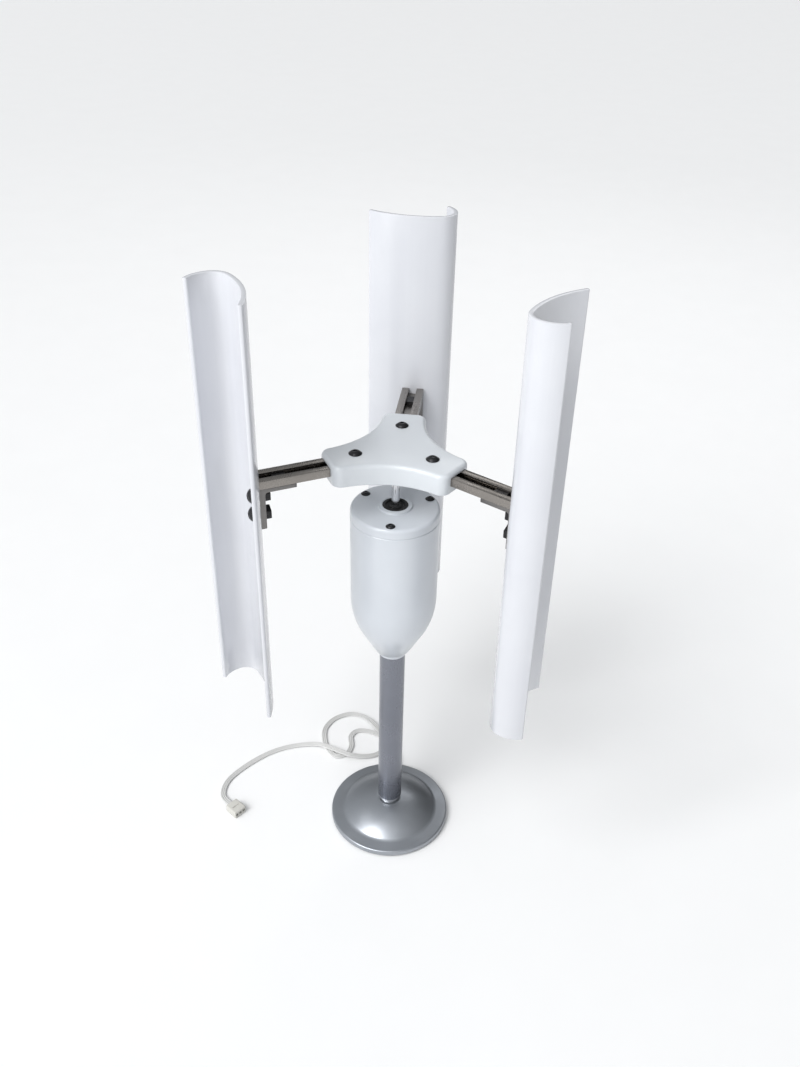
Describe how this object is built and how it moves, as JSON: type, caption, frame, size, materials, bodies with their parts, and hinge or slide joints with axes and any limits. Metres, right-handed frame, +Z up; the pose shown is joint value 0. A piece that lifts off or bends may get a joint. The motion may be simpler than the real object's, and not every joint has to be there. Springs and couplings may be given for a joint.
{
  "type": "vertical axis wind turbine",
  "caption": "Desk-size vertical axis wind turbine: curved upright blades on slotted arms, star hub, bullet-shaped generator, mast, round base and flat cable.",
  "frame": {"origin": "centre of the base's underside, on the shaft's axis and on the surface that the turbine stands on", "axes": "+Z up along the mast and shaft; +Y along arm 1, to the rear, where the cable leaves the base"},
  "size_m": [0.2283, 0.1854, 0.42],
  "materials": {
    "blade_white": "glossy extruded plastic",
    "hub_white": "satin moulded plastic",
    "housing_white": "satin moulded plastic",
    "base_grey": "satin silver-grey paint on a casting",
    "mast_grey": "satin grey paint on a tube",
    "aluminium": "mill finish",
    "steel": "turned",
    "bright_steel": "ground and polished",
    "black_screw": "black oxide",
    "zinc_nut": "zinc plated",
    "black_rubber": "matt",
    "brass": "turned",
    "core_steel": "laminated electrical steel",
    "copper": "enamelled copper winding",
    "magnet": "nickel plated",
    "cage_yellow": "moulded",
    "cable_white": "flexible PVC",
    "plug_white": "moulded"
  },
  "bodies": {
    "stand": {"foot_pad": "black_rubber", "base_dome": "base_grey", "mast_stud": "bright_steel", "base_washer": "steel", "base_nut": "steel", "cable_grommet": "black_rubber", "mast_tube": "mast_grey", "mast_cable": "cable_white", "lead_wires": "copper", "generator_housing": "housing_white", "generator_cover": "housing_white", "cover_screws": "black_screw", "shaft_seal": "black_rubber", "stator_core": "core_steel", "stator_coils": "copper", "lower_bearing_outer": "steel", "upper_bearing_outer": "steel", "cord": "cable_white", "cord_connector": "plug_white", "connector_contacts": "zinc_nut"},
    "rotor": {"lower_bearing_inner": "steel", "upper_bearing_inner": "steel", "shaft": "bright_steel", "shaft_circlip": "steel", "lower_spacer": "steel", "upper_spacer": "steel", "magnet_hub": "core_steel", "magnets": "magnet", "hub_plate": "hub_white", "hub_insert": "brass", "hub_set_screw": "black_screw", "hub_screws": "black_screw", "hub_nuts": "zinc_nut", "arm_1": "aluminium", "arm_2": "aluminium", "arm_3": "aluminium", "slot_nuts": "zinc_nut", "bracket_screws": "black_screw", "bracket_1": "aluminium", "bracket_2": "aluminium", "bracket_3": "aluminium", "blade_screws": "black_screw", "blade_nuts": "black_screw", "blade_1": "blade_white", "blade_2": "blade_white", "blade_3": "blade_white"},
    "lower_cage": {"lower_bearing_balls": "bright_steel", "lower_bearing_cage": "cage_yellow"},
    "upper_cage": {"upper_bearing_balls": "bright_steel", "upper_bearing_cage": "cage_yellow"}
  },
  "joints": [
    {"name": "rotor_spin", "type": "hinge", "parent": "stand", "child": "rotor", "pos_m": [0, 0, 0.28], "axis": [0, 0, 1], "continuous": true},
    {"name": "lower_cage_spin", "type": "hinge", "parent": "stand", "child": "lower_cage", "pos_m": [0, 0, 0.1845], "axis": [0, 0, 1], "continuous": true},
    {"name": "upper_cage_spin", "type": "hinge", "parent": "stand", "child": "upper_cage", "pos_m": [0, 0, 0.2605], "axis": [0, 0, 1], "continuous": true}
  ],
  "couplings": [
    {"joint": "lower_cage_spin", "follows": "rotor_spin", "ratio": 0.3762},
    {"joint": "upper_cage_spin", "follows": "rotor_spin", "ratio": 0.3762}
  ]
}
